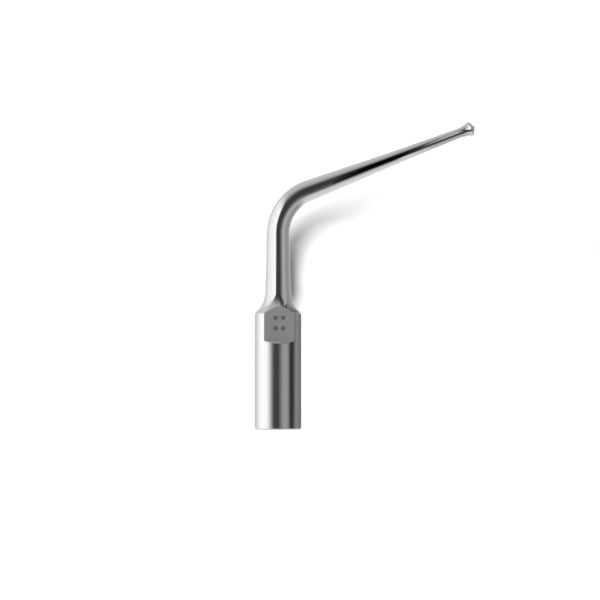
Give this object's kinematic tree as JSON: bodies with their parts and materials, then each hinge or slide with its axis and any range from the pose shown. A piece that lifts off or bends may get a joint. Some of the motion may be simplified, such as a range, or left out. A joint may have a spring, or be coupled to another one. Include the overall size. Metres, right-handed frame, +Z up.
{
  "type": "dental elevator",
  "caption": "Screw-on ultrasonic dental elevator tip: threaded hub with wrench flats, bent tapered shank and a small flared, cone-faced working head.",
  "frame": {"origin": "centre of the hub's seating face, on the thread axis", "axes": "+Z up the hub from the seating face, +X the side the arm leans to, -Y out of the wrench flat that carries the index mark"},
  "size_m": [0.021, 0.0044, 0.0293],
  "materials": {
    "hub_steel": "turned and polished, wrench flats milled and satin",
    "shank_steel": "mirror polished",
    "head_steel": "polished flare, finely ground cone",
    "braze_alloy": "silver brazing alloy"
  },
  "bodies": {
    "root": {"coupling_hub": "hub_steel", "bent_shank": "shank_steel", "working_head": "head_steel", "neck_braze": "braze_alloy", "head_braze": "braze_alloy"}
  },
  "joints": []
}
